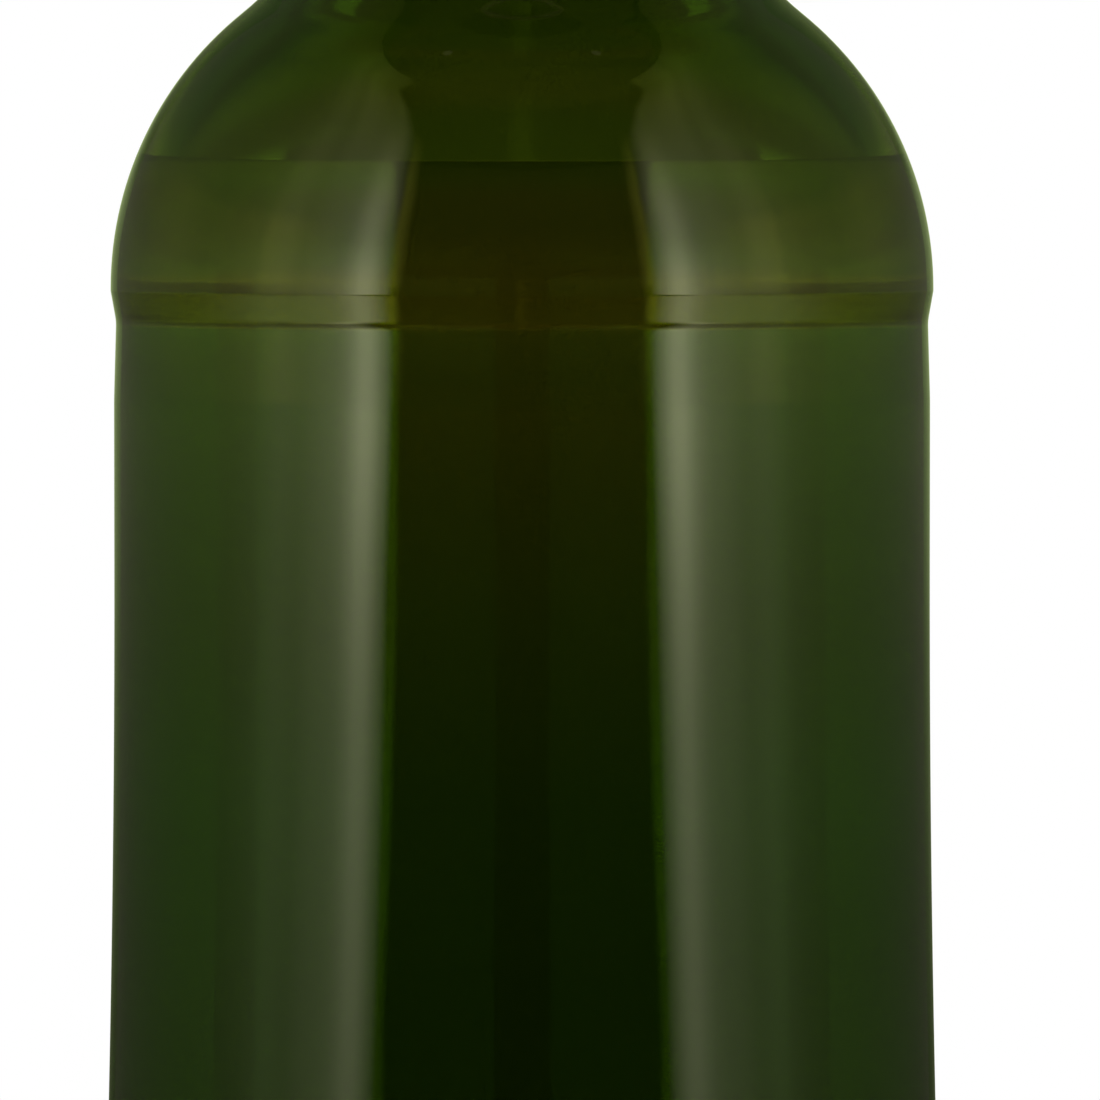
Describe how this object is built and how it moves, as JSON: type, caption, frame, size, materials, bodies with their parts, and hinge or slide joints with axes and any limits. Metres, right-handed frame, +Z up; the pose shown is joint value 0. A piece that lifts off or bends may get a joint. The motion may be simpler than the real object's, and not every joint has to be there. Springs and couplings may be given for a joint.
{
  "type": "whisky bottle",
  "caption": "Round dark green glass bottle with a rolled shoulder bead, gently flaring body and cork stopper, filled with whisky to the shoulder.",
  "frame": {"origin": "centre of the ring that the bottle stands on", "axes": "+Z up along the bottle's axis, from the base to the stopper"},
  "size_m": [0.0796, 0.0796, 0.284],
  "materials": {
    "green_glass": "very dark olive green bottle glass, smooth and glossy",
    "whisky": "clear amber liquid",
    "cork": "natural cork, matte",
    "stained_wood": "turned hardwood, dark stain under a satin lacquer"
  },
  "bodies": {
    "root": {"bottle": "green_glass", "whisky": "whisky", "stopper_cork": "cork", "stopper_cap": "stained_wood"}
  },
  "joints": []
}
